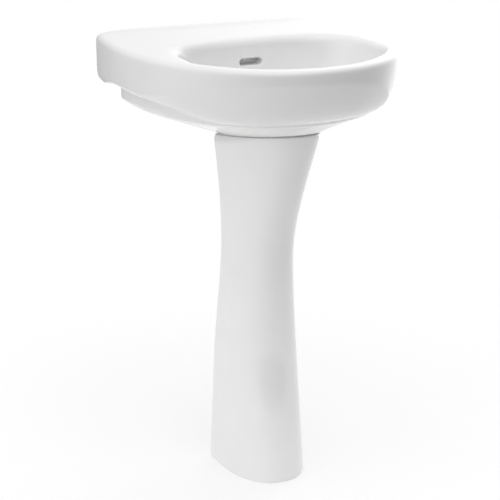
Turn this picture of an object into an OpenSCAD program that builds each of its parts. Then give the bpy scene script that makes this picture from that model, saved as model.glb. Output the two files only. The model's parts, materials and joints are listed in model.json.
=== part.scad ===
// Pedestal sink: a basin on a slim column, with its overflow, waste and bottle trap.
// x runs across, y from the front (minus) to the wall (plus), z up from the floor.
// The shapes below are worked out with f, the distance from the wall, in place of y.

/* [Basin] */
// Width over the widest part of the rim
basin_w = 526; // [510:2:540]
// Depth from the wall to the front of the rim
basin_d = 465; // [455:5:475]
// Height of the rim above the floor
rim_h = 820; // [780:5:860]
// Height of the apron that hangs below the rim
apron_h = 80; // [76:1:84]
// Half width of the bowl at its lip
bowl_half = 182; // [170:2:188]
// Distance from the wall to the back lip of the bowl
bowl_back = 165; // [160:1:170]
// Distance from the wall to the front lip of the bowl
bowl_front = 431; // [428:1:434]
// Width of the overflow slot
slot_w = 46; // [36:1:50]
// Height of the overflow slot
slot_h = 13; // [9:1:15]
// Depth of the slot's centre below the rim
slot_drop = 43; // [38:1:48]

/* [Pedestal] */
// Distance from the wall to the back edges of the column
column_back = 165; // [160:1:170]
// Wall thickness of the column
column_t = 12; // [10:0.5:13]
// Height of the column's top at its back edge
column_h = 648; // [640:1:650]
// Width of each turned-in back edge
column_lip = 22; // [18:1:26]

/* [Waste] */
// Distance from the wall to the waste
waste_f = 238; // [236:0.5:240]
// Radius of the waste thread
waste_r = 20.9; // [20.4:0.1:21]
// Travel of the press plug
plug_travel = 8; // [5:0.5:9]

/* [Trap] */
// Outer radius of the trap's pipes
pipe_r = 16; // [15:0.5:16]
// Height of the outlet pipe above the floor
outlet_z = 530; // [526:1:534]
// Distance from the wall to the end of the outlet pipe
pipe_end = 80; // [70:5:110]

/* [Wall and floor fixings] */
// Distance between the two wall bolt holes
bolt_pitch = 280; // [240:5:300]
// Radius of the wall bolt holes
bolt_r = 7; // [5:0.5:8]
// Distance between the two floor screw holes
foot_pitch = 84; // [80:1:88]
// Radius of the floor screw holes
foot_hole_r = 4; // [3:0.25:4.5]

/* [Hidden] */
$fn = 64;

wall_y = basin_d / 2;
waste_y = wall_y - waste_f;
widest_f = 150;
seat_gap = 2;
seat_slope = 0.18;
bowl_floor = rim_h - 148.5;
boss_bottom = rim_h - 168;
body_half = basin_w / 2 - 13;
body_back = 72;
body_front = basin_d - 55;
tail_z = boss_bottom - 46;

// ---------- helpers ----------
function mix(a, b, t) = a + (b - a) * t;
function ease(t) = let (c = min(1, max(0, t))) c * c * (3 - 2 * c);
function place(p) = [p.x, wall_y - p.y, p.z];

// Rounded plan shape at the angle a (90 is the front), as [x, f]
function oval(a, half, back, front, mid, n_back, n_front) =
    let (b = sin(a) < 0 ? mid - back : front - mid,
         n = sin(a) < 0 ? n_back : n_front,
         r = pow(pow(abs(cos(a)) / half, n) + pow(abs(sin(a)) / b, n), -1 / n))
    [r * cos(a), mid + r * sin(a)];

// Value of column c of a list of [x, ...] rows at x, on a smooth curve through the rows
function slope_at(rows, i, c) =
    let (a = max(0, i - 1), b = min(len(rows) - 1, i + 1))
    (rows[b][c] - rows[a][c]) / (rows[b][0] - rows[a][0]);
function curve(rows, x, c, i = 0) =
    (i < len(rows) - 2 && x > rows[i + 1][0]) ? curve(rows, x, c, i + 1) :
    let (h = rows[i + 1][0] - rows[i][0], t = (x - rows[i][0]) / h, u = 1 - t)
    rows[i][c] * (1 + 2 * t) * u * u + rows[i + 1][c] * t * t * (3 - 2 * t)
    + slope_at(rows, i, c) * h * t * u * u - slope_at(rows, i + 1, c) * h * t * t * u;

// Solid through closed rings of points; the last ring joins the first when looped
module loft(rings, looped) {
    n = len(rings[0]);
    m = len(rings);
    last = looped ? m - 1 : m - 2;
    walls = [for (i = [0 : last], j = [0 : n - 1])
             let (p = i * n + j, q = i * n + (j + 1) % n,
                  r = ((i + 1) % m) * n + j, s = ((i + 1) % m) * n + (j + 1) % n)
             each [[p, s, q], [p, r, s]]];
    // a strip ring pairs point j with point n - 1 - j, so its ends close with quads
    ends = looped ? [] : [for (j = [0 : n / 2 - 2])
             let (a = j, b = j + 1, c = n - 2 - j, d = n - 1 - j, top = (m - 1) * n)
             each [[a, b, c], [a, c, d], [top + a, top + c, top + b], [top + a, top + d, top + c]]];
    polyhedron([for (r = rings) each [for (p = r) place(p)]], concat(walls, ends), convexity = 8);
}

// Revolved part on the waste's axis, drawn as [radius, height] points
module turned(points) {
    translate([0, waste_y, 0]) rotate_extrude() polygon(points);
}

// Ring on the waste's axis from radius r0 to r1 and height z0 to z1
module ring(r0, r1, z0, z1) {
    turned([[r0, z0], [r1, z0], [r1, z1], [r0, z1]]);
}

// Outline points of a tube of coarse thread, from the top down
function thread(r, z_top, z_low, pitch = 2, depth = 0.5) =
    [for (z = [z_top : -pitch : z_low + pitch / 2])
     each [[r, z], [r, z - pitch * 0.25], [r - depth, z - pitch * 0.5], [r - depth, z - pitch * 0.75]]];

// Grip ribs of a plastic nut, standing on the radius r
module ribs(r, h, count) {
    for (i = [0 : count - 1]) rotate(i * 360 / count)
        translate([r - 1.5, -1.6, 0]) cube([3.4, 3.2, h]);
}

// Ribbed union nut with its mouth up, at the origin: a bore and a smaller hole in its floor
module union_nut(r, h, bore_r, hole_r, floor_t) {
    difference() {
        union() {
            cylinder(r = r, h = h);
            ribs(r, h - 1.5, 16);
        }
        translate([0, 0, floor_t]) cylinder(r = bore_r, h = h);
        translate([0, 0, -1]) cylinder(r = hole_r, h = h + 2);
    }
}

// ---------- basin ----------
// Rim outline moved in by side, back and front, at a drop below the rim
function rim_pt(a, side, back, front, drop) =
    let (p = oval(a, basin_w / 2, -1.5, basin_d, widest_f, 15, 2.12),
         f = max(0, p.y),
         t = max(0, 1 - f / widest_f),
         x = p.x * (1 - 0.08 * pow(t, 1.6)) * (1 - 2 * side / basin_w),
         far = basin_d - front)
    [x, f < widest_f ? mix(back, widest_f, f / widest_f)
                     : mix(widest_f, far, (f - widest_f) / (basin_d - widest_f)), rim_h - drop];

// Height of the sloping seat that rests on the column
function seat_z(f) = column_h + seat_gap + seat_slope * (f - column_back);

// Underside of the bowl: k is 1 at its outer edge and 0 at the seat
function under_pt(a, k, lift, inset) =
    let (p = oval(a, mix(80, body_half, k) - inset, mix(152, body_back, k) + inset,
                  mix(377, body_front, k) - inset, mix(240, 160, k), 2.3, 2.1),
         edge = rim_h - 96 - 12 * min(1, max(0, (p.y - 160) / 248)))
    [p.x, p.y, mix(seat_z(p.y) + 1, edge, k) + lift];
function under_at(a, inset, drop) = let (p = under_pt(a, 1, 0, inset)) [p.x, p.y, rim_h - drop];

// Inside of the bowl
function bowl_pt(a, side, back, front, drop, mid = 300, n_back = 3.2, n_front = 2.2, tilt = 0) =
    let (p = oval(a, bowl_half - side, bowl_back + back, bowl_front - front, mid, n_back, n_front))
    [p.x, p.y, rim_h - drop + tilt * (p.y - waste_f)];
// Bowl wall at a share d of the way in from the lip to the waste
function bowl_in(a, d, drop, mid) =
    bowl_pt(a, (bowl_half - 36) * d, (waste_f - 36 - bowl_back) * d, (bowl_front - waste_f - 36) * d,
            drop, mid, 3.2 - 1.2 * d, 2.2 - 0.2 * d, 0.09 * d);
function disc_pt(a, r, z) = [r * cos(a), waste_f + r * sin(a), z];

// Share of the smooth front shape, and of the hollow back shape, at the angle a
function front_share(a) = 1 - ease((abs(a - 90) - 30) / 46);
function back_share(a) = a <= 180 ? 0 : ease((min(360 - a, a - 180) - 4) / 12);

// Apron insets as [side, back, front, drop] for the sides and for the hollow back
SIDE = [[0, 0, 0, 9], [0.5, 0, 2, 30], [1, 0, 4, 52], [1.6, 0, 7, 68], [2.4, 0, 9, 75],
        [4.5, 0, 11, 79], [7, 0, 13, 80]];
BACK = [[0, 0, 0, 9], [0.5, 0, 0, 30], [1, 0, 0, 52], [1.6, 0, 0, 68], [2.4, 1, 0, 75],
        [4.5, 4, 0, 79.2], [7, 9, 0, 80]];
// Height of the apron's lower edge: it rises along the sides from the wall to the front
function side_rise(a) = a > 180 ? 1 - ease(min(360 - a, a - 180) / 20)
                                : mix(0.45, 1, ease((abs(a - 90) - 65) / 25));
function apron_drop(a, d) = d * apron_h / 80 * (1 - 0.14 * side_rise(a));
function side_pt(a, i) = let (low = apron_drop(a, 80))
    i < 7 ? rim_pt(a, SIDE[i][0], SIDE[i][1], SIDE[i][2], apron_drop(a, SIDE[i][3])) :
    i < 12 ? mix(rim_pt(a, 7, 0, 13, low), under_at(a, 0, low + 0.8), (i - 6) / 5) :
    under_at(a, 0, i == 12 ? low + 5 : 91);
function back_pt(a, i) =
    i < 7 ? rim_pt(a, BACK[i][0], BACK[i][1], BACK[i][2], apron_drop(a, BACK[i][3])) :
    i == 7 ? rim_pt(a, 12.5, 12, 7, apron_drop(a, 76)) :
    i == 8 ? rim_pt(a, 13, 12.5, 7, 20) :
    i == 9 ? bowl_pt(a, -14, -14, -14, 20) :
    i == 10 ? bowl_pt(a, -14, -14, -14, 112) :
    i == 11 ? under_at(a, 5, apron_h) :
    under_at(a, 0, i == 12 ? 84 : 91);
function front_pt(a, s) =
    let (r = rim_pt(a, 0, 0, 0, 9), e = under_pt(a, 1, 5, 0), t = pow(s, 1.6))
    [mix(r.x, e.x, t), mix(r.y, e.y, t), mix(r.z, e.z, 1 - pow(1 - s, 1.9))];
function apron_pt(a, i) =
    mix(mix(side_pt(a, i), back_pt(a, i), back_share(a)),
        front_pt(a, i < 6 ? i * 0.053 : mix(0.318, 1, (i - 6) / 7)), front_share(a));

// Angles round the basin, closer together at the back corners
ANGLES = [each [0 : 5 : 179], each [180 : 4 : 192], each [196 : 2 : 226], each [228 : 7 : 305],
          each [312 : 2 : 342], each [344 : 4 : 356]];

// One radial section of the basin, round its skin from the rim down and back up the bowl
function section(a) = concat(
    [rim_pt(a, 22, 36, 22, 0), rim_pt(a, 20, 31, 20, -3 * ledge(a)), rim_pt(a, 9, 9, 9, -3 * ledge(a)),
     rim_pt(a, 4.2, 4.2, 4.2, 1.3 - 3 * ledge(a)), rim_pt(a, 1.2, 1.2, 1.2, 4.5 - 2 * ledge(a))],
    [for (i = [0 : 13]) apron_pt(a, i)],
    [for (k = [0.985, 0.95, 0.88, 0.75, 0.6, 0.45, 0.3, 0.15, 0.05, 0])
     under_pt(a, k, max(0, k - 0.9) * 35, 0)],
    [seat_pt(a, 1.2), seat_pt(a, 17)],
    [disc_pt(a, 40, boss_bottom + 11), disc_pt(a, 36, boss_bottom + 2), disc_pt(a, 34, boss_bottom),
     disc_pt(a, 20, boss_bottom), disc_pt(a, 20, bowl_floor + 1.5), disc_pt(a, 36, bowl_floor + 2)],
    [for (r = [[0.8, 138, 240], [0.57, 128, 255], [0.39, 114, 270], [0.245, 94, 285],
               [0.135, 71, 293], [0.067, 48, 298], [0.028, 28, 300]]) bowl_in(a, r[0], r[1], r[2])],
    [bowl_pt(a, 0, 0, 0, 15), bowl_pt(a, -2.5, -3, -2, 7), bowl_pt(a, -7, -8, -5, 2),
     bowl_pt(a, -14, -15, -9, 0)]);
function seat_pt(a, inset) = let (p = under_pt(a, 0, 0, inset)) [p.x, p.y, seat_z(p.y)];
// Share of the low splash ledge along the wall side of the deck
function ledge(a) = a <= 180 ? 0 : ease((min(360 - a, a - 180) - 26) / 14);

module basin_shell() {
    sections = [for (a = ANGLES) section(a)];
    loft([for (i = [0 : len(sections[0]) - 1]) [for (s = sections) s[i]]], true);
}

// Box given by its sides in x, f and z
module block(half, f0, f1, z0, z1) {
    translate([-half, wall_y - f1, z0]) cube([2 * half, f1 - f0, z1 - z0]);
}

// Slot through the bowl's back wall, with round ends
module overflow_slot(half, high, f0, f1) {
    z = rim_h - slot_drop;
    r = high / 2;
    block(half - r, f0, f1, z - r, z + r);
    for (x = [-1, 1]) translate([x * (half - r), wall_y - f0, z]) rotate([90, 0, 0])
        cylinder(r = r, h = f1 - f0);
}

// Side view of the hidden channel from the slot to the waste, as [f, height] points
module overflow_channel(half) {
    outline = [[128, rim_h - 30], [146, rim_h - 30], [146, rim_h - 100], [172, rim_h - 130],
               [190, rim_h - 144], [200, rim_h - 153], [waste_f - 15, rim_h - 154],
               [waste_f - 15, rim_h - 160], [185, rim_h - 159], [160, rim_h - 148], [128, rim_h - 115]];
    translate([half, wall_y, 0]) rotate([90, 0, -90]) linear_extrude(2 * half) polygon(outline);
}

module basin() {
    color("white") difference() {
        union() {
            basin_shell();
            block(slot_w / 2 + 9, 118, 156, rim_h - 118, rim_h - 14);
        }
        overflow_slot(slot_w / 2, slot_h, 130, 190);
        overflow_channel(slot_w / 2);
        translate([0, waste_y, bowl_floor]) cylinder(r = 33.5, h = 30);
        translate([0, waste_y, boss_bottom - 10]) cylinder(r = waste_r + 2.1, h = 60);
        for (x = [-1, 1]) translate([x * bolt_pitch / 2, wall_y + 1, rim_h - 48]) rotate([90, 0, 0])
            cylinder(r = bolt_r, h = 22);
    }
}

// Bushes that line the two wall bolt holes
module bolt_bushes() {
    color("gainsboro") for (x = [-1, 1]) translate([x * bolt_pitch / 2, wall_y, rim_h - 48])
        rotate([90, 0, 0]) difference() {
            union() {
                translate([0, 0, 0.5]) cylinder(r = bolt_r - 0.05, h = 12.2);
                translate([0, 0, 12.7]) cylinder(r = bolt_r + 5, h = 2.5);
            }
            translate([0, 0, -1]) cylinder(r = bolt_r - 1.8, h = 20);
        }
}

// ---------- pedestal ----------
// Column shape as [height, half width, distance from the wall to its front]
COLUMN = [[0, 78, 336], [120, 74.5, 317], [260, 70.5, 292], [400, 61, 287.5], [470, 60, 293],
          [560, 65, 325], [668, 77, 374]];
function column_top(f) = column_h + seat_slope * (f - column_back);

// One side's points from the turned-in back edge round to the front, moved in by inset
function column_half(w, front, inset) =
    let (h = w - inset, back = column_back + inset, r = inset > 0 ? 3 : 9,
         flat = 0.25 * (front - inset - back))
    concat([[w - column_lip, back]],
           [for (t = [-90 : 30 : 0]) [h - r + r * cos(t), back + r + r * sin(t)]],
           [for (a = [0 : 7.5 : 90]) oval(a, h, 0, front - inset, back + flat + r, 2.2, 2.2)]);
function column_path(w, front, inset) =
    let (p = column_half(w, front, inset), n = len(p))
    concat(p, [for (i = [n - 2 : -1 : 0]) [-p[i].x, p[i].y]]);
function column_ring(share, inset, thick, up = 0) =
    let (z = share * 668, w = curve(COLUMN, z, 1), front = curve(COLUMN, z, 2),
         outer = column_path(w, front, inset), inner = column_path(w, front, inset + thick),
         n = len(outer))
    concat([for (p = outer) [p.x, p.y, share * column_top(p.y) + up]],
           [for (i = [n - 1 : -1 : 0]) [inner[i].x, inner[i].y, share * column_top(inner[i].y) + up]]);

module pedestal() {
    color("white") difference() {
        union() {
            loft(concat([column_ring(1, 2.5, column_t - 2.5)], [column_ring(0.997, 0.8, column_t - 0.8)],
                        [for (s = [0.99, each [0.96 : -0.04 : 0.02], 0.012]) column_ring(s, 0, column_t)],
                        [column_ring(0.004, 0.5, column_t - 0.5)], [column_ring(0, 2, column_t - 2)]),
                 false);
            for (x = [-1, 1]) foot_tab(x);
        }
        for (x = [-1, 1]) translate([x * foot_pitch / 2, wall_y - 215, -1])
            cylinder(r = foot_hole_r, h = 40);
    }
}

// Tab inside the foot for one floor screw
module foot_tab(x) {
    translate([x * foot_pitch / 2, wall_y - 215, 0]) cylinder(r = 13, h = 14);
    translate([x > 0 ? foot_pitch / 2 : -foot_pitch / 2 - 28, wall_y - 228, 0]) cube([28, 26, 14]);
}

// Cushion strip between the column's top and the basin
module seat_gasket() {
    color("dimgray") loft([for (up = [seat_gap, 0]) column_ring(1, 3.5, column_t - 5.5, up)], false);
}

// ---------- waste ----------
flange_z = bowl_floor + 2;
hub_z = boss_bottom - 32;

module waste_body() {
    color("silver") difference() {
        union() {
            turned(concat([[18, tail_z], [18, flange_z - 2], [20.5, flange_z + 2.5], [29, flange_z + 2.5],
                           [32, flange_z + 1.2], [32, flange_z], [waste_r, flange_z]],
                          thread(waste_r, boss_bottom, tail_z + 1), [[waste_r - 0.5, tail_z]]));
            translate([0, waste_y, hub_z]) cylinder(r = 7.5, h = 12);
            for (a = [90 : 120 : 330]) translate([0, waste_y, hub_z + 2]) rotate(a)
                translate([6, -1.6, 0]) cube([12.6, 3.2, 6]);
        }
        translate([0, waste_y, hub_z - 1]) cylinder(r = 5, h = 20);
        translate([-8, waste_y - 30, boss_bottom + 4]) cube([16, 60, 11]);
    }
}

module waste_top_seal() { color("dimgray") ring(waste_r + 0.3, 31, bowl_floor, flange_z); }

module waste_gasket() {
    color("dimgray") turned([[waste_r + 0.1, boss_bottom - 7], [29, boss_bottom - 7], [33, boss_bottom - 3],
                             [33, boss_bottom], [waste_r + 0.1, boss_bottom]]);
}

module waste_slip_washer() { color("ivory") ring(waste_r + 0.2, 31, boss_bottom - 8.5, boss_bottom - 7); }

module waste_backnut() {
    color("darkkhaki") translate([0, waste_y, boss_bottom - 17.5]) difference() {
        cylinder(r = 31, h = 9, $fn = 6);
        translate([0, 0, -1]) cylinder(r = waste_r, h = 12);
    }
}

// Press-and-release unit screwed into the hub; the plug's stem slides in its two guides
module waste_cartridge() {
    stop = hub_z + 24 + plug_travel + 0.6;
    color("ivory") turned([[3.05, hub_z - 4], [5, hub_z - 4], [5, hub_z + 12], [6.5, hub_z + 12],
                           [6.5, stop + 3.5], [3.05, stop + 3.5], [3.05, stop],
                           [5.1, stop], [5.1, hub_z + 13], [3.05, hub_z + 13]]);
}

module waste_spring() {
    turns = 4;
    steps = 14;
    z0 = hub_z + 13.7;
    rise_z = 7.6;
    rings = [for (i = [0 : turns * steps])
             let (a = i * 360 / steps, z = z0 + rise_z * i / (turns * steps))
             [for (t = [0 : 60 : 300]) [(4.1 + 0.45 * cos(t)) * cos(a),
                                        waste_f + (4.1 + 0.45 * cos(t)) * sin(a), z + 0.45 * sin(t)]]];
    color("silver") loft(rings, false);
}

module waste_plug() {
    top = flange_z + 3.5;
    color("silver") turned([[0, hub_z - 12], [3, hub_z - 12], [3, hub_z + 22], [4.9, hub_z + 22],
                            [4.9, hub_z + 24], [3, hub_z + 24], [3, top - 11], [16.5, top - 9],
                            [16.9, top - 8], [16.9, top - 7.2], [15.6, top - 7.2], [15.6, top - 4.8],
                            [16.9, top - 4.8], [16.9, top - 3], [12, top - 1], [12, top], [28.5, top],
                            [30.5, top + 1.2], [30.5, top + 2.2], [29, top + 3.4], [24, top + 4.6],
                            [16, top + 5.5], [8, top + 6], [0, top + 6.1]]);
}

module waste_plug_seal() {
    z = flange_z + 3.5 - 6;
    color("dimgray") translate([0, waste_y, z]) rotate_extrude()
        translate([16.7, 0]) circle(r = 0.95, $fn = 32);
}

// ---------- trap ----------
nut_z = tail_z - 12;
neck_z = outlet_z + 26;
cup_z = outlet_z - 94;

module trap_inlet_nut() {
    color("whitesmoke") translate([0, waste_y, nut_z]) union_nut(25.5, 20, waste_r + 0.1, pipe_r + 0.4, 4);
}

module trap_inlet_washer() { color("dimgray") ring(pipe_r + 0.3, 20.6, tail_z - 3, tail_z); }

module trap_dip_tube() {
    color("whitesmoke") turned([[pipe_r - 1.8, cup_z + 24], [pipe_r, cup_z + 24], [pipe_r, nut_z + 4],
                                [20.6, nut_z + 4], [20.6, tail_z - 3], [pipe_r - 1.8, tail_z - 3]]);
}

module trap_neck_nut() {
    color("whitesmoke") translate([0, waste_y, neck_z + 12]) mirror([0, 0, 1])
        union_nut(24.5, 18, 20.8, pipe_r + 0.4, 4);
}

module trap_neck_washer() { color("dimgray") ring(pipe_r, 20.5, neck_z + 4, neck_z + 8); }

module trap_body() {
    stub = 46;
    color("whitesmoke") difference() {
        union() {
            turned([[0, outlet_z - 52], [28.4, outlet_z - 52], [28.4, outlet_z - 38], [30, outlet_z - 37],
                    [30, outlet_z + 12], [27, outlet_z + 18], [22, outlet_z + 20], [20.8, outlet_z + 20],
                    [20.8, neck_z + 4], [0, neck_z + 4]]);
            translate([0, waste_y, outlet_z - 6]) rotate([-90, 0, 0]) cylinder(r = 20.8, h = stub);
        }
        turned([[0, outlet_z - 53], [26, outlet_z - 53], [26, outlet_z + 10], [24, outlet_z + 14],
                [pipe_r + 0.3, outlet_z + 18], [pipe_r + 0.3, neck_z + 5], [0, neck_z + 5]]);
        translate([0, waste_y + 4, outlet_z - 6]) rotate([-90, 0, 0]) cylinder(r = 14, h = stub);
        translate([0, waste_y + 33, outlet_z - 6]) rotate([-90, 0, 0])
            cylinder(r = pipe_r + 0.1, h = stub);
    }
}

module trap_cup() {
    color("whitesmoke") difference() {
        union() {
            turned([[0, cup_z], [18, cup_z], [24, cup_z + 3], [28, cup_z + 9], [29.5, cup_z + 14],
                    [31, cup_z + 30], [31, cup_z + 56], [0, cup_z + 56]]);
            translate([0, waste_y, cup_z + 32]) ribs(31, 22, 20);
        }
        turned([[0, cup_z + 2.5], [17, cup_z + 2.5], [22, cup_z + 5], [26, cup_z + 14],
                [26, cup_z + 39.5], [28.45, cup_z + 39.5], [28.45, cup_z + 57], [0, cup_z + 57]]);
    }
}

module trap_cup_seal() { color("dimgray") ring(26.1, 28.3, cup_z + 39.5, cup_z + 42); }

module trap_outlet_nut() {
    color("whitesmoke") translate([0, waste_y + 53.5, outlet_z - 6]) rotate([90, 0, 0])
        union_nut(24.5, 18, 20.85, pipe_r + 0.4, 4);
}

module trap_outlet_washer() {
    color("dimgray") translate([0, waste_y + 46, outlet_z - 6]) rotate([-90, 0, 0]) difference() {
        cylinder(r = 20.5, h = 3.5);
        translate([0, 0, -1]) cylinder(r = pipe_r, h = 6);
    }
}

module trap_outlet_pipe() {
    start = waste_y + 33.2;
    long = wall_y - pipe_end - start;
    color("whitesmoke") translate([0, start, outlet_z - 6]) rotate([-90, 0, 0]) difference() {
        cylinder(r = pipe_r, h = long);
        translate([0, 0, -1]) cylinder(r = pipe_r - 1.8, h = long + 2);
    }
}

basin();
pedestal();
seat_gasket();
bolt_bushes();
waste_body();
waste_top_seal();
waste_gasket();
waste_slip_washer();
waste_backnut();
waste_cartridge();
waste_spring();
waste_plug();
waste_plug_seal();
trap_inlet_nut();
trap_inlet_washer();
trap_dip_tube();
trap_neck_nut();
trap_neck_washer();
trap_body();
trap_cup();
trap_cup_seal();
trap_outlet_nut();
trap_outlet_washer();
trap_outlet_pipe();
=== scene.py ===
"""Pedestal sink: smooth glazed china over the CAD frame, its plumbing, floor, light and camera."""
import json
import math

import bmesh
import bpy
from mathutils import Matrix, Vector


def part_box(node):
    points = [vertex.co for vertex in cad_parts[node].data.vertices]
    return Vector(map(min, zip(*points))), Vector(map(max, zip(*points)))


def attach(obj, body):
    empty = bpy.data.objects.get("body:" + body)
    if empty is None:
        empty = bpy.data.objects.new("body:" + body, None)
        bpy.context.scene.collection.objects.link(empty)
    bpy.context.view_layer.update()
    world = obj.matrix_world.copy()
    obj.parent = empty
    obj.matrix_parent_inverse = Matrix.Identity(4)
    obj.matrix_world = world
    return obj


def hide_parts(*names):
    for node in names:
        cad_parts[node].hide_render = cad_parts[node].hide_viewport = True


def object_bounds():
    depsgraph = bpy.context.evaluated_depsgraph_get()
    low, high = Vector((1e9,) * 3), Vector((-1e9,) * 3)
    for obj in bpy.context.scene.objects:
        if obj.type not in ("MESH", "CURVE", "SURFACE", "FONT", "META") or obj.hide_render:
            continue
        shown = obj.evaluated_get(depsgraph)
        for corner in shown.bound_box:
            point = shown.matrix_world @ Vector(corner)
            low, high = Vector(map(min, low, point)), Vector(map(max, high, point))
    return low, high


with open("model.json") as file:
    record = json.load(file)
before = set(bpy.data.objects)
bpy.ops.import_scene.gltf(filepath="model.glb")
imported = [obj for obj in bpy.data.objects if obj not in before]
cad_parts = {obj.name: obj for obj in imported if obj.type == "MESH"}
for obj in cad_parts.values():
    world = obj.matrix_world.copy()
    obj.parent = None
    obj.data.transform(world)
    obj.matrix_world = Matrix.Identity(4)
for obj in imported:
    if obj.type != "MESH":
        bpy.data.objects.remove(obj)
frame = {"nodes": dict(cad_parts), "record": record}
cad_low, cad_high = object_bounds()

MM = 0.001
BODY = "sink"
SINK_NODES = frame["nodes"]

# ---------- measures taken from the frame, in millimetres ----------
basin_low, basin_high = (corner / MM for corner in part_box("basin"))
LEDGE = 3.0
RIM_Z = basin_high.z - LEDGE
BASIN_W = basin_high.x - basin_low.x
BASIN_D = basin_high.y - basin_low.y
WALL_Y = basin_high.y
APRON = 80.0
WIDEST = 150.0
BOWL_HALF, BOWL_BACK, BOWL_FRONT = 182.0, 165.0, 431.0
WASTE_F = WALL_Y - (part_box("waste_body")[0].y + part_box("waste_body")[1].y) / 2 / MM
BOWL_FLOOR = RIM_Z - 148.5
BOSS = RIM_Z - 168.0
BODY_HALF = BASIN_W / 2 - 13
BODY_BACK = 72.0
BODY_FRONT = BASIN_D - 55
WASTE_HOLE = 23.0
FLANGE_SEAT = 33.5
SLOT_W, SLOT_H, SLOT_DROP = 46.0, 13.0, 43.0
BOLT_X = (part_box("bolt_bushes")[1].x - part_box("bolt_bushes")[0].x) / 2 / MM - 12
BOLT_R = 7.0
BOLT_DROP = 48.0
COLUMN_BACK = WALL_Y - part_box("pedestal")[1].y / MM
COLUMN_H = 648.0
COLUMN_T = 12.0
COLUMN_LIP = 22.0
SEAT_SLOPE = 0.18
SEAT_GAP = 2.0
CHANNEL_TOP, CHANNEL_FLOOR = 30.5, 154.0  # depths below the rim
HOUSE_BACK, HOUSE_FRONT, HOUSE_LOW, HOUSE_TALL = 118.0, 156.0, 118.0, 104.0
TAB_X, TAB_F, TAB_R, TAB_H = 42.0, 215.0, 13.0, 14.0
FOOT_HOLE_R = 4.0
SHARP_ANGLE = 42  # degrees between faces

# ---------- studio, in metres ----------
# each lobe of light is (direction, how narrow it is, level)
LOBES = (((0, 0, 1), 2.0, 1.22), ((-1, -0.1, 0.05), 4.0, 1.2), ((0.85, 0.5, 0.0), 5.0, 2.4),
         ((-0.4, 0.9, 0.1), 3.0, 0.3), ((-0.1, -0.45, 0.85), 8.0, 1.2))
FLOOR_RINGS = (0.25, 0.5, 0.9, 1.5, 1.9)
FLOOR_GLOW = 0.48
FLOOR_GAP = 0.0002
EYE = Vector((-1.2992, -2.4096, 1.3524))
TARGET = Vector((-0.0100, 0.0378, 0.4236))
LENS = 111.51
ROLL = math.radians(0.985)


# ---------- shapes, as in the CAD part ----------
def mix(a, b, t):
    return a + (b - a) * t


def mix3(p, q, t):
    return tuple(mix(a, b, t) for a, b in zip(p, q))


def ease(t):
    c = min(1.0, max(0.0, t))
    return c * c * (3 - 2 * c)


def oval(a, half, back, front, mid, n_back, n_front):
    """Rounded plan shape at the angle a, where 90 degrees is the front, as (x, f)."""
    c, s = math.cos(math.radians(a)), math.sin(math.radians(a))
    b, n = (mid - back, n_back) if s < 0 else (front - mid, n_front)
    r = ((abs(c) / half) ** n + (abs(s) / b) ** n) ** (-1 / n)
    return r * c, mid + r * s


def rim_pt(a, side, back, front, drop):
    """Rim outline moved in by side, back and front, at a drop below the rim."""
    x, f = oval(a, BASIN_W / 2, -1.5, BASIN_D, WIDEST, 15, 2.12)
    f = max(0.0, f)
    t = max(0.0, 1 - f / WIDEST)
    x *= (1 - 0.08 * t ** 1.6) * (1 - 2 * side / BASIN_W)
    if f < WIDEST:
        f = mix(back, WIDEST, f / WIDEST)
    else:
        f = mix(WIDEST, BASIN_D - front, (f - WIDEST) / (BASIN_D - WIDEST))
    return x, f, RIM_Z - drop


def seat_z(f):
    return COLUMN_H + SEAT_GAP + SEAT_SLOPE * (f - COLUMN_BACK)


def under_pt(a, k, lift=0.0, inset=0.0):
    """Underside of the bowl: k is 1 at its outer edge and 0 at the seat."""
    x, f = oval(a, mix(80, BODY_HALF, k) - inset, mix(152, BODY_BACK, k) + inset,
                mix(377, BODY_FRONT, k) - inset, mix(240, 160, k), 2.3, 2.1)
    edge = RIM_Z - 96 - 12 * min(1.0, max(0.0, (f - 160) / 248))
    return x, f, mix(seat_z(f) + 1, edge, k) + lift


def under_at(a, inset, drop):
    x, f, _ = under_pt(a, 1, 0, inset)
    return x, f, RIM_Z - drop


def bowl_pt(a, side, back, front, drop, mid=300.0, n_back=3.2, n_front=2.2, tilt=0.0):
    x, f = oval(a, BOWL_HALF - side, BOWL_BACK + back, BOWL_FRONT - front, mid, n_back, n_front)
    return x, f, RIM_Z - drop + tilt * (f - WASTE_F)


def bowl_in(a, d, drop, mid):
    """Bowl wall at a share d of the way in from the lip to the waste."""
    return bowl_pt(a, (BOWL_HALF - 36) * d, (WASTE_F - 36 - BOWL_BACK) * d,
                   (BOWL_FRONT - WASTE_F - 36) * d, drop, mid, 3.2 - 1.2 * d, 2.2 - 0.2 * d, 0.09 * d)


def disc_pt(a, r, z):
    return r * math.cos(math.radians(a)), WASTE_F + r * math.sin(math.radians(a)), z


def front_share(a):
    """Share of the smooth front shape at the angle a."""
    return 1 - ease((abs(a - 90) - 30) / 46)


def back_share(a):
    """Share of the hollow back shape at the angle a."""
    return 0.0 if a <= 180 else ease((min(360 - a, a - 180) - 4) / 12)


def ledge(a):
    """Share of the low splash ledge along the wall side of the deck."""
    return 0.0 if a <= 180 else ease((min(360 - a, a - 180) - 26) / 14)


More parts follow.
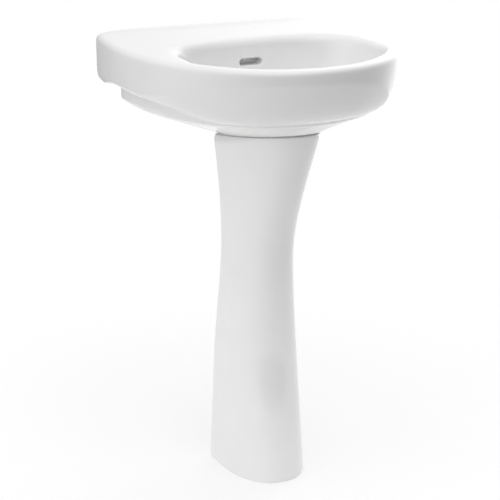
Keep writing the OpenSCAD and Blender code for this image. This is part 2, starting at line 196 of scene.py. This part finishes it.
# apron steps are (side, back, front, drop); bowl steps are (share in, drop, middle of the outline)
SIDE_STEPS = ((0, 0, 0, 9), (0.5, 0, 2, 30), (1, 0, 4, 52), (1.6, 0, 7, 68), (2.4, 0, 9, 75),
              (4.5, 0, 11, 79), (7, 0, 13, 80))
BACK_STEPS = ((0, 0, 0, 9), (0.5, 0, 0, 30), (1, 0, 0, 52), (1.6, 0, 0, 68), (2.4, 1, 0, 75),
              (4.5, 4, 0, 79.2), (7, 9, 0, 80))
BOWL_STEPS = ((0.8, 138, 240), (0.57, 128, 255), (0.39, 114, 270), (0.245, 94, 285),
              (0.135, 71, 293), (0.067, 48, 298), (0.028, 28, 300))
UNDER_STEPS = (0.985, 0.95, 0.88, 0.75, 0.6, 0.45, 0.3, 0.15, 0.05, 0)


def apron_drop(a, d):
    """The apron's lower edge rises along the sides from the wall to the front."""
    if a > 180:
        rise = 1 - ease(min(360 - a, a - 180) / 20)
    else:
        rise = mix(0.45, 1, ease((abs(a - 90) - 65) / 25))
    return d * APRON / 80 * (1 - 0.14 * rise)


def side_pt(a, i):
    low = apron_drop(a, 80)
    if i < 7:
        return rim_pt(a, *SIDE_STEPS[i][:3], apron_drop(a, SIDE_STEPS[i][3]))
    if i < 12:
        return mix3(rim_pt(a, 7, 0, 13, low), under_at(a, 0, low + 0.8), (i - 6) / 5)
    return under_at(a, 0, low + 5 if i == 12 else 91)


def back_pt(a, i):
    if i < 7:
        return rim_pt(a, *BACK_STEPS[i][:3], apron_drop(a, BACK_STEPS[i][3]))
    if i == 7:
        return rim_pt(a, 12.5, 12, 7, apron_drop(a, 76))
    if i == 8:
        return rim_pt(a, 13, 12.5, 7, 20)
    if i in (9, 10):
        return bowl_pt(a, -14, -14, -14, 20 if i == 9 else 112)
    if i == 11:
        return under_at(a, 5, APRON)
    return under_at(a, 0, 84 if i == 12 else 91)


def front_pt(a, s):
    rim, edge, t = rim_pt(a, 0, 0, 0, 9), under_pt(a, 1, 5), s ** 1.6
    return mix(rim[0], edge[0], t), mix(rim[1], edge[1], t), mix(rim[2], edge[2], 1 - (1 - s) ** 1.9)


def apron_pt(a, i):
    shell = mix3(side_pt(a, i), back_pt(a, i), back_share(a))
    down = i * 0.053 if i < 6 else mix(0.318, 1, (i - 6) / 7)
    return mix3(shell, front_pt(a, down), front_share(a))


def seat_pt(a, inset):
    x, f, _ = under_pt(a, 0, 0, inset)
    return x, f, seat_z(f)


def basin_section(a):
    """One radial section of the basin, from the deck over the rim, underneath and back up the bowl."""
    up = ledge(a)
    points = [rim_pt(a, 22, 36, 22, 0), rim_pt(a, 20, 31, 20, -3 * up), rim_pt(a, 9, 9, 9, -3 * up),
              rim_pt(a, 4.2, 4.2, 4.2, 1.3 - 3 * up), rim_pt(a, 1.2, 1.2, 1.2, 4.5 - 2 * up)]
    points += [apron_pt(a, i) for i in range(14)]
    points += [under_pt(a, k, max(0.0, k - 0.9) * 35) for k in UNDER_STEPS]
    points += [seat_pt(a, 1.2), seat_pt(a, 17)]
    points += [disc_pt(a, 40, BOSS + 11), disc_pt(a, 36, BOSS + 2), disc_pt(a, 34, BOSS),
               disc_pt(a, WASTE_HOLE + 1, BOSS), disc_pt(a, WASTE_HOLE, BOSS + 0.6),
               disc_pt(a, WASTE_HOLE, BOWL_FLOOR - 0.6), disc_pt(a, WASTE_HOLE + 1, BOWL_FLOOR),
               disc_pt(a, FLANGE_SEAT - 0.8, BOWL_FLOOR), disc_pt(a, FLANGE_SEAT, BOWL_FLOOR + 0.7),
               disc_pt(a, FLANGE_SEAT + 0.5, BOWL_FLOOR + 1.7), disc_pt(a, 36, BOWL_FLOOR + 2.1)]
    points += [bowl_in(a, *step) for step in BOWL_STEPS]
    points += [bowl_pt(a, 0, 0, 0, 15), bowl_pt(a, -2.5, -3, -2, 7), bowl_pt(a, -7, -8, -5, 2),
               bowl_pt(a, -14, -15, -9, 0)]
    return points


def basin_angles():
    """Angles round the basin, closer together at the back corners, with the middle of each step."""
    steps = list(range(0, 180, 5)) + list(range(180, 193, 4)) + list(range(196, 227, 2))
    steps += list(range(228, 306, 7)) + list(range(312, 343, 2)) + list(range(344, 357, 4))
    fine = []
    for a, b in zip(steps, steps[1:] + [360]):
        fine += [a, (a + b) / 2]
    return fine


# half width and front of the column at each height, before its top is cut to the sloping seat
COLUMN = ((0, 78, 336), (120, 74.5, 317), (260, 70.5, 292), (400, 61, 287.5), (470, 60, 293),
          (560, 65, 325), (668, 77, 374))


def column_slope(i, c):
    a, b = max(0, i - 1), min(len(COLUMN) - 1, i + 1)
    return (COLUMN[b][c] - COLUMN[a][c]) / (COLUMN[b][0] - COLUMN[a][0])


def column_value(z, c):
    """Value of column c of the COLUMN rows at the height z, on a smooth curve through the rows."""
    i = 0
    while i < len(COLUMN) - 2 and z > COLUMN[i + 1][0]:
        i += 1
    h = COLUMN[i + 1][0] - COLUMN[i][0]
    t = (z - COLUMN[i][0]) / h
    u = 1 - t
    return (COLUMN[i][c] * (1 + 2 * t) * u * u + COLUMN[i + 1][c] * t * t * (3 - 2 * t)
            + column_slope(i, c) * h * t * u * u - column_slope(i + 1, c) * h * t * t * u)


def column_half(w, front, inset):
    """One side of the column's outline, from its turned-in back edge round to the front."""
    h, back, r = w - inset, COLUMN_BACK + inset, 3 if inset > 0.9 * COLUMN_T else 9
    flat = 0.25 * (front - inset - back)
    edge = [(mix(w - COLUMN_LIP, h - r, t), back) for t in (0, 0.12, 0.5)]
    corner = [(h - r + r * math.cos(math.radians(t)), back + r + r * math.sin(math.radians(t)))
              for t in range(-90, 1, 15)]
    curve = [oval(a * 2.5, h, 0, front - inset, back + flat + r, 2.2, 2.2) for a in range(37)]
    side = [(h, mix(corner[-1][1], curve[0][1], t)) for t in (0.33, 0.67)]
    return edge + corner + side + curve


def column_path(w, front, inset):
    """The whole outline, from one back edge round the front to the other."""
    half = column_half(w, front, inset)
    return half + [(-x, f) for x, f in reversed(half[:-1])]


def column_ring(share, inset, thick):
    """Outer and inner outline at a share of the column's height."""
    z = share * COLUMN[-1][0]
    w, front = column_value(z, 1), column_value(z, 2)
    ring = column_path(w, front, inset) + column_path(w, front, inset + thick)[::-1]
    return [(x, f, share * (COLUMN_H + SEAT_SLOPE * (f - COLUMN_BACK))) for x, f in ring]


# ---------- mesh helpers ----------
def place(p):
    return Vector((p[0], WALL_Y - p[1], p[2])) * MM


def new_object(name, bm):
    mesh = bpy.data.meshes.new(name)
    bmesh.ops.recalc_face_normals(bm, faces=bm.faces)
    bm.to_mesh(mesh)
    bm.free()
    obj = bpy.data.objects.new(name, mesh)
    bpy.context.scene.collection.objects.link(obj)
    return obj


def apply_modifiers(obj):
    """Bakes obj's modifiers into its mesh."""
    bpy.context.view_layer.update()
    evaluated = obj.evaluated_get(bpy.context.evaluated_depsgraph_get())
    mesh = bpy.data.meshes.new_from_object(evaluated)
    old = obj.data
    obj.modifiers.clear()
    obj.data = mesh
    bpy.data.meshes.remove(old)


def subdivide(obj, levels):
    mod = obj.modifiers.new("smooth", "SUBSURF")
    mod.levels = mod.render_levels = levels
    apply_modifiers(obj)


def combine(obj, other, operation):
    """Joins other to obj, or cuts it out of obj, and removes other."""
    mod = obj.modifiers.new(operation.lower(), "BOOLEAN")
    mod.operation, mod.object, mod.solver = operation, other, "EXACT"
    apply_modifiers(obj)
    bpy.data.objects.remove(other)


def shade(obj, angle):
    """Smooth shading, with a crease where faces meet at more than angle degrees."""
    obj.data.polygons.foreach_set("use_smooth", [True] * len(obj.data.polygons))
    obj.data.set_sharp_from_angle(angle=math.radians(angle))


def skin(bm, rings, looped, is_bare):
    """Faces through rings of points; those that pass is_bare(ring, point, place) are left unglazed."""
    rows = [[bm.verts.new(place(p)) for p in ring] for ring in rings]
    pairs = list(zip(rows, rows[1:])) + ([(rows[-1], rows[0])] if looped else [])
    for i, (row, after) in enumerate(pairs):
        for j in range(len(row)):
            k = (j + 1) % len(row)
            face = bm.faces.new((row[j], row[k], after[k], after[j]))
            face.material_index = int(is_bare(i, j, rings[i][j]))
    return rows


def looped_mesh(name, rings, is_bare):
    """Closed skin through rings of points, whose last ring joins the first."""
    bm = bmesh.new()
    skin(bm, rings, True, is_bare)
    return new_object(name, bm)


def strip_mesh(name, rings, is_bare):
    """Closed wall through strip rings, in which point j faces point n - 1 - j."""
    bm = bmesh.new()
    rows = skin(bm, rings, False, is_bare)
    for row in (rows[0], rows[-1]):
        n = len(row)
        for j in range(n // 2 - 1):
            face = bm.faces.new((row[j], row[j + 1], row[n - 2 - j], row[n - 1 - j]))
            face.material_index = 1
    return new_object(name, bm)


def prism(name, outline, lift):
    """Solid between a closed outline of vectors and the same outline moved by lift."""
    bm = bmesh.new()
    near = [bm.verts.new(p) for p in outline]
    far = [bm.verts.new(p + lift) for p in outline]
    bm.faces.new(near)
    bm.faces.new(far)
    for j in range(len(near)):
        k = (j + 1) % len(near)
        bm.faces.new((near[j], near[k], far[k], far[j]))
    return new_object(name, bm)


def circle_points(centre, r, across, up, count=48):
    return [centre + (across * math.cos(2 * math.pi * i / count)
                      + up * math.sin(2 * math.pi * i / count)) * r * MM for i in range(count)]


# ---------- basin ----------
def slot_outline(grow, count=14):
    """Rounded slot outline, grown outwards by grow, as (x, z) in millimetres."""
    r = SLOT_H / 2 + grow
    reach = (SLOT_W - SLOT_H) / 2
    points = []
    for side, start in ((1, -90), (-1, 90)):
        for i in range(count + 1):
            t = math.radians(start + 180 * i / count)
            points.append((side * reach + r * math.cos(t), RIM_Z - SLOT_DROP + r * math.sin(t)))
    for i in range(1, 6):
        points.append((mix(-reach, reach, i / 6), RIM_Z - SLOT_DROP - r))
    top = [(mix(reach, -reach, i / 6), RIM_Z - SLOT_DROP + r) for i in range(1, 6)]
    return points[:count + 1] + top + points[count + 1:]


def slot_cutter(basin):
    """The overflow slot with a softened lip that follows the bowl's wall."""
    lip = 2.6
    profile = [(-3.0, lip + 0.6), (-0.25, lip + 0.5)]
    for i in range(1, 7):
        t = math.radians(90 * i / 6)
        profile.append((lip * (1 - math.cos(t)) + 0.05, lip * (1 - math.sin(t))))
    profile.append((38.0, 0.0))
    rows = []
    bm = bmesh.new()
    for depth, grow in profile:
        row = []
        for x, z in slot_outline(grow):
            start = Vector((x, WALL_Y - 300, z)) * MM
            hit, where, _, _ = basin.ray_cast(start, Vector((0, 1, 0)))
            wall = where.y if hit else (WALL_Y - 168) * MM
            row.append(bm.verts.new((x * MM, wall + depth * MM, z * MM)))
        rows.append(row)
    for row, after in zip(rows, rows[1:]):
        for j in range(len(row)):
            k = (j + 1) % len(row)
            bm.faces.new((row[j], row[k], after[k], after[j]))
    bm.faces.new(rows[0])
    bm.faces.new(rows[-1])
    return new_object("slot_cutter", bm)


def channel_cutter():
    """The hidden channel from the slot down to the waste."""
    end = WASTE_F - 15
    profile = ((129, CHANNEL_TOP), (145, CHANNEL_TOP), (146, 100), (172, 130), (190, 144), (200, 153),
               (end, CHANNEL_FLOOR), (end, CHANNEL_FLOOR + 6), (185, 159), (160, 148), (129, 115))
    outline = [place((SLOT_W / 2, f, RIM_Z - depth)) for f, depth in profile]
    return prism("channel_cutter", outline, Vector((-SLOT_W * MM, 0, 0)))


def channel_house():
    """The swelling behind the bowl that holds the channel, with chamfered edges."""
    half, cut = SLOT_W / 2 + 9, 5.0
    plan = ((-half + cut, HOUSE_BACK), (half - cut, HOUSE_BACK), (half, HOUSE_BACK + cut),
            (half, HOUSE_FRONT), (-half, HOUSE_FRONT), (-half, HOUSE_BACK + cut))
    outline = [place((x, f, RIM_Z - HOUSE_LOW)) for x, f in plan]
    return prism("channel_house", outline, Vector((0, 0, HOUSE_TALL * MM)))


def bolt_cutter(side):
    centre = Vector((side * BOLT_X, WALL_Y + 1, RIM_Z - BOLT_DROP)) * MM
    outline = circle_points(centre, BOLT_R, Vector((1, 0, 0)), Vector((0, 0, 1)))
    return prism("bolt_cutter", outline, Vector((0, -22 * MM, 0)))


def make_basin():
    angles = basin_angles()
    sections = [basin_section(a) for a in angles]

    def is_bare(i, j, point):
        on_wall = 5 <= i <= 10 and point[1] < 1
        in_hollow = 12 <= i <= 15 and back_share(angles[j]) > 0.5
        return on_wall or in_hollow or 28 <= i <= 30

    basin = looped_mesh("basin_china", [list(ring) for ring in zip(*sections)], is_bare)
    subdivide(basin, 2)
    cutter = slot_cutter(basin)
    combine(basin, channel_house(), "UNION")
    combine(basin, cutter, "DIFFERENCE")
    combine(basin, channel_cutter(), "DIFFERENCE")
    for side in (-1, 1):
        combine(basin, bolt_cutter(side), "DIFFERENCE")
    shade(basin, SHARP_ANGLE)
    return basin


# ---------- pedestal ----------
def foot_tab(side):
    """Tab inside the column's foot for one floor screw."""
    x0, end, low = side * TAB_X, side * (TAB_X + 24), 0.6
    arc = [(x0 - side * TAB_R * math.sin(math.radians(t)), TAB_F + TAB_R * math.cos(math.radians(t)))
           for t in range(0, 181, 12)]
    outline = [(end, TAB_F + TAB_R)] + arc + [(end, TAB_F - TAB_R)]
    return prism("foot_tab", [place((x, f, low)) for x, f in outline], Vector((0, 0, (TAB_H - low) * MM)))


def foot_hole(side):
    centre = Vector((side * TAB_X, WALL_Y - TAB_F, -2)) * MM
    outline = circle_points(centre, FOOT_HOLE_R, Vector((1, 0, 0)), Vector((0, 1, 0)), 32)
    return prism("foot_hole", outline, Vector((0, 0, 40 * MM)))


def make_pedestal():
    shares = [0.99] + [0.96 - 0.02 * i for i in range(48)] + [0.012]
    rings = [column_ring(1, 2.5, COLUMN_T - 2.5), column_ring(0.997, 0.8, COLUMN_T - 0.8)]
    rings += [column_ring(s, 0, COLUMN_T) for s in shares]
    rings += [column_ring(0.004, 0.5, COLUMN_T - 0.5), column_ring(0, 2, COLUMN_T - 2)]
    outer = len(rings[0]) // 2
    pedestal = strip_mesh("pedestal_china", rings, lambda i, j, point: outer <= j < 2 * outer - 1)
    subdivide(pedestal, 1)
    for side in (-1, 1):
        combine(pedestal, foot_tab(side), "UNION")
        combine(pedestal, foot_hole(side), "DIFFERENCE")
    shade(pedestal, SHARP_ANGLE)
    return pedestal


# ---------- materials ----------
class Nodes:
    """Small helper that builds a node material."""

    def __init__(self, name):
        self.material = bpy.data.materials.new(name)
        self.material.use_nodes = True
        self.tree = self.material.node_tree
        self.shader = self.tree.nodes["Principled BSDF"]
        self.coord = self.tree.nodes.new("ShaderNodeTexCoord")

    def link(self, out, into):
        self.tree.links.new(out, into)

    def noise(self, scale, detail=2.0, stretch=None, rough=0.5):
        """Noise over the object, in metres; stretch scales it along each axis."""
        source = self.coord.outputs["Object"]
        if stretch:
            mapping = self.tree.nodes.new("ShaderNodeMapping")
            mapping.inputs["Scale"].default_value = stretch
            self.link(source, mapping.inputs["Vector"])
            source = mapping.outputs["Vector"]
        node = self.tree.nodes.new("ShaderNodeTexNoise")
        node.inputs["Scale"].default_value = scale
        node.inputs["Detail"].default_value = detail
        node.inputs["Roughness"].default_value = rough
        self.link(source, node.inputs["Vector"])
        return node.outputs["Fac"]

    def remap(self, value, low, high, start=0.3, end=0.7):
        node = self.tree.nodes.new("ShaderNodeMapRange")
        node.inputs["From Min"].default_value = start
        node.inputs["From Max"].default_value = end
        node.inputs["To Min"].default_value = low
        node.inputs["To Max"].default_value = high
        self.link(value, node.inputs["Value"])
        return node.outputs["Result"]

    def colours(self, value, first, second):
        node = self.tree.nodes.new("ShaderNodeMix")
        node.data_type = "RGBA"
        node.inputs[6].default_value = (*first, 1)
        node.inputs[7].default_value = (*second, 1)
        self.link(value, node.inputs[0])
        return node.outputs[2]

    def bump(self, height, distance, strength=1.0, normal=None):
        node = self.tree.nodes.new("ShaderNodeBump")
        node.inputs["Strength"].default_value = strength
        node.inputs["Distance"].default_value = distance
        self.link(height, node.inputs["Height"])
        if normal is not None:
            self.link(normal, node.inputs["Normal"])
        return node.outputs["Normal"]

    def finish(self, colour, roughness, normal=None, **sockets):
        self.link(colour, self.shader.inputs["Base Color"])
        self.link(roughness, self.shader.inputs["Roughness"])
        if normal is not None:
            self.link(normal, self.shader.inputs["Normal"])
        for name, value in sockets.items():
            self.shader.inputs[name.replace("_", " ")].default_value = value
        return self.material


def glaze_material():
    n = Nodes("glazed_china")
    cloud = n.remap(n.noise(7, 3), 0, 1)
    colour = n.colours(cloud, (0.845, 0.848, 0.846), (0.875, 0.876, 0.872))
    roughness = n.remap(n.noise(30, 4), 0.05, 0.1)
    waves = n.bump(n.noise(16, 2), 0.0005, 0.5)
    normal = n.bump(n.noise(420, 1), 0.00002, 0.6, waves)
    return n.finish(colour, roughness, normal, IOR=1.52)


def bisque_material():
    """Unglazed china inside the column, under the basin and on its back face."""
    n = Nodes("bare_china")
    cloud = n.remap(n.noise(12, 5), 0, 1)
    colour = n.colours(cloud, (0.66, 0.645, 0.61), (0.76, 0.75, 0.725))
    roughness = n.remap(n.noise(60, 4), 0.55, 0.75)
    grain = n.bump(n.noise(900, 3), 0.0001, 0.5)
    return n.finish(colour, roughness, grain)


def rubber_material(name, dark, light):
    n = Nodes(name)
    colour = n.colours(n.remap(n.noise(90, 4), 0, 1), dark, light)
    roughness = n.remap(n.noise(200, 3), 0.5, 0.72)
    grain = n.bump(n.noise(1500, 2), 0.00006, 0.5)
    return n.finish(colour, roughness, grain)


def moulded_material(name, dark, light, rough_low, rough_high):
    n = Nodes(name)
    colour = n.colours(n.remap(n.noise(40, 3), 0, 1), dark, light)
    roughness = n.remap(n.noise(160, 4), rough_low, rough_high)
    grain = n.bump(n.noise(700, 2), 0.00004, 0.4)
    return n.finish(colour, roughness, grain, IOR=1.49)


def chrome_material():
    n = Nodes("polished_chrome")
    colour = n.colours(n.remap(n.noise(25, 3), 0, 1), (0.74, 0.75, 0.77), (0.82, 0.83, 0.84))
    wipes = n.noise(60, 5, (1, 1, 6))
    roughness = n.remap(wipes, 0.05, 0.14)
    normal = n.bump(n.noise(140, 2), 0.00003, 0.4)
    return n.finish(colour, roughness, normal, Metallic=1.0)


def brass_material():
    n = Nodes("turned_brass")
    colour = n.colours(n.remap(n.noise(55, 5), 0, 1), (0.46, 0.32, 0.12), (0.68, 0.51, 0.22))
    marks = n.noise(18, 3, (1, 1, 90))
    roughness = n.remap(marks, 0.22, 0.42)
    normal = n.bump(marks, 0.0001, 0.5)
    return n.finish(colour, roughness, normal, Metallic=1.0)


def wire_material():
    n = Nodes("drawn_wire")
    colour = n.colours(n.remap(n.noise(120, 3), 0, 1), (0.42, 0.43, 0.45), (0.6, 0.61, 0.62))
    roughness = n.remap(n.noise(300, 3), 0.25, 0.4)
    normal = n.bump(n.noise(800, 2), 0.00002, 0.4)
    return n.finish(colour, roughness, normal, Metallic=1.0)


def floor_material():
    n = Nodes("pale_floor")
    colour = n.colours(n.remap(n.noise(0.8, 2), 0, 1), (0.495, 0.495, 0.495), (0.505, 0.505, 0.505))
    roughness = n.remap(n.noise(3, 2), 0.85, 0.95)
    n.shader.inputs["Emission Color"].default_value = (1, 1, 1, 1)
    n.shader.inputs["Emission Strength"].default_value = FLOOR_GLOW
    return n.finish(colour, roughness, Specular_IOR_Level=0.0)


def paint(obj, *materials):
    obj.data.materials.clear()
    for material in materials:
        obj.data.materials.append(material)


# ---------- stage ----------
def make_floor():
    bm = bmesh.new()
    rings = []
    for r in FLOOR_RINGS:
        rings.append([bm.verts.new((r * math.cos(math.radians(a)), r * math.sin(math.radians(a)), 0))
                      for a in range(0, 360, 5)])
    bm.faces.new(rings[0])
    for inner, outer in zip(rings, rings[1:]):
        for j in range(len(inner)):
            k = (j + 1) % len(inner)
            bm.faces.new((inner[j], inner[k], outer[k], outer[j]))
    for v in bm.verts:
        v.co.z = cad_low.z - FLOOR_GAP
    floor = new_object("studio_floor", bm)
    for face in floor.data.polygons:
        if face.normal.z < 0:
            face.flip()
    paint(floor, floor_material())


def make_world():
    """Soft light made of LOBES; the camera itself sees plain white behind the sink."""
    world = bpy.data.worlds.new("studio")
    bpy.context.scene.world = world
    world.use_nodes = True
    tree = world.node_tree
    tree.nodes.clear()

    def math_node(operation, first, second):
        node = tree.nodes.new("ShaderNodeMath")
        node.operation = operation
        tree.links.new(first, node.inputs[0])
        if isinstance(second, (int, float)):
            node.inputs[1].default_value = second
        else:
            tree.links.new(second, node.inputs[1])
        return node.outputs[0]

    coord = tree.nodes.new("ShaderNodeTexCoord")
    level = None
    for way, narrow, strength in LOBES:
        dot = tree.nodes.new("ShaderNodeVectorMath")
        dot.operation = "DOT_PRODUCT"
        dot.inputs[1].default_value = Vector(way).normalized()
        tree.links.new(coord.outputs["Generated"], dot.inputs[0])
        lobe = math_node("POWER", math_node("MAXIMUM", dot.outputs["Value"], 0.0), narrow)
        lobe = math_node("MULTIPLY", lobe, strength)
        level = lobe if level is None else math_node("ADD", lobe, level)
    lit = tree.nodes.new("ShaderNodeBackground")
    lit.inputs["Color"].default_value = (1, 1, 1, 1)
    seen = tree.nodes.new("ShaderNodeBackground")
    seen.inputs["Strength"].default_value = 1.0
    seen.inputs["Color"].default_value = (1, 1, 1, 1)
    path = tree.nodes.new("ShaderNodeLightPath")
    blend = tree.nodes.new("ShaderNodeMixShader")
    out = tree.nodes.new("ShaderNodeOutputWorld")
    tree.links.new(level, lit.inputs["Strength"])
    tree.links.new(path.outputs["Is Camera Ray"], blend.inputs["Fac"])
    tree.links.new(lit.outputs[0], blend.inputs[1])
    tree.links.new(seen.outputs[0], blend.inputs[2])
    tree.links.new(blend.outputs[0], out.inputs["Surface"])


def make_camera():
    data = bpy.data.cameras.new("camera")
    data.sensor_width = 36.0
    data.lens = LENS
    data.clip_end = 100
    camera = bpy.data.objects.new("camera", data)
    bpy.context.scene.collection.objects.link(camera)
    aim = (TARGET - EYE).to_track_quat("-Z", "Y").to_matrix().to_4x4()
    camera.matrix_world = Matrix.Translation(EYE) @ aim @ Matrix.Rotation(ROLL, 4, "Z")
    bpy.context.scene.camera = camera


def main():
    scene = bpy.context.scene
    scene.view_settings.view_transform = "Standard"
    glaze, bare = glaze_material(), bisque_material()
    basin, pedestal = make_basin(), make_pedestal()
    for obj, node in ((basin, "basin"), (pedestal, "pedestal")):
        paint(obj, glaze, bare)
        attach(obj, BODY)
        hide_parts(node)
    finishes = {
        "china": glaze,
        "rubber": rubber_material("black_rubber", (0.012, 0.012, 0.013), (0.03, 0.03, 0.031)),
        "sealant": rubber_material("pale_rubber", (0.52, 0.52, 0.5), (0.6, 0.6, 0.58)),
        "nylon": moulded_material("natural_nylon", (0.66, 0.65, 0.58), (0.74, 0.73, 0.67), 0.35, 0.5),
        "chrome": chrome_material(),
        "brass": brass_material(),
        "steel": wire_material(),
        "plastic": moulded_material("white_plastic", (0.74, 0.75, 0.75), (0.8, 0.8, 0.79), 0.22, 0.34),
    }
    slots = {s["node"]: s["material_slot"] for s in frame["record"]["subparts"]}
    for node, obj in SINK_NODES.items():
        paint(obj, finishes[slots[node]])
    make_floor()
    make_world()
    make_camera()


main()
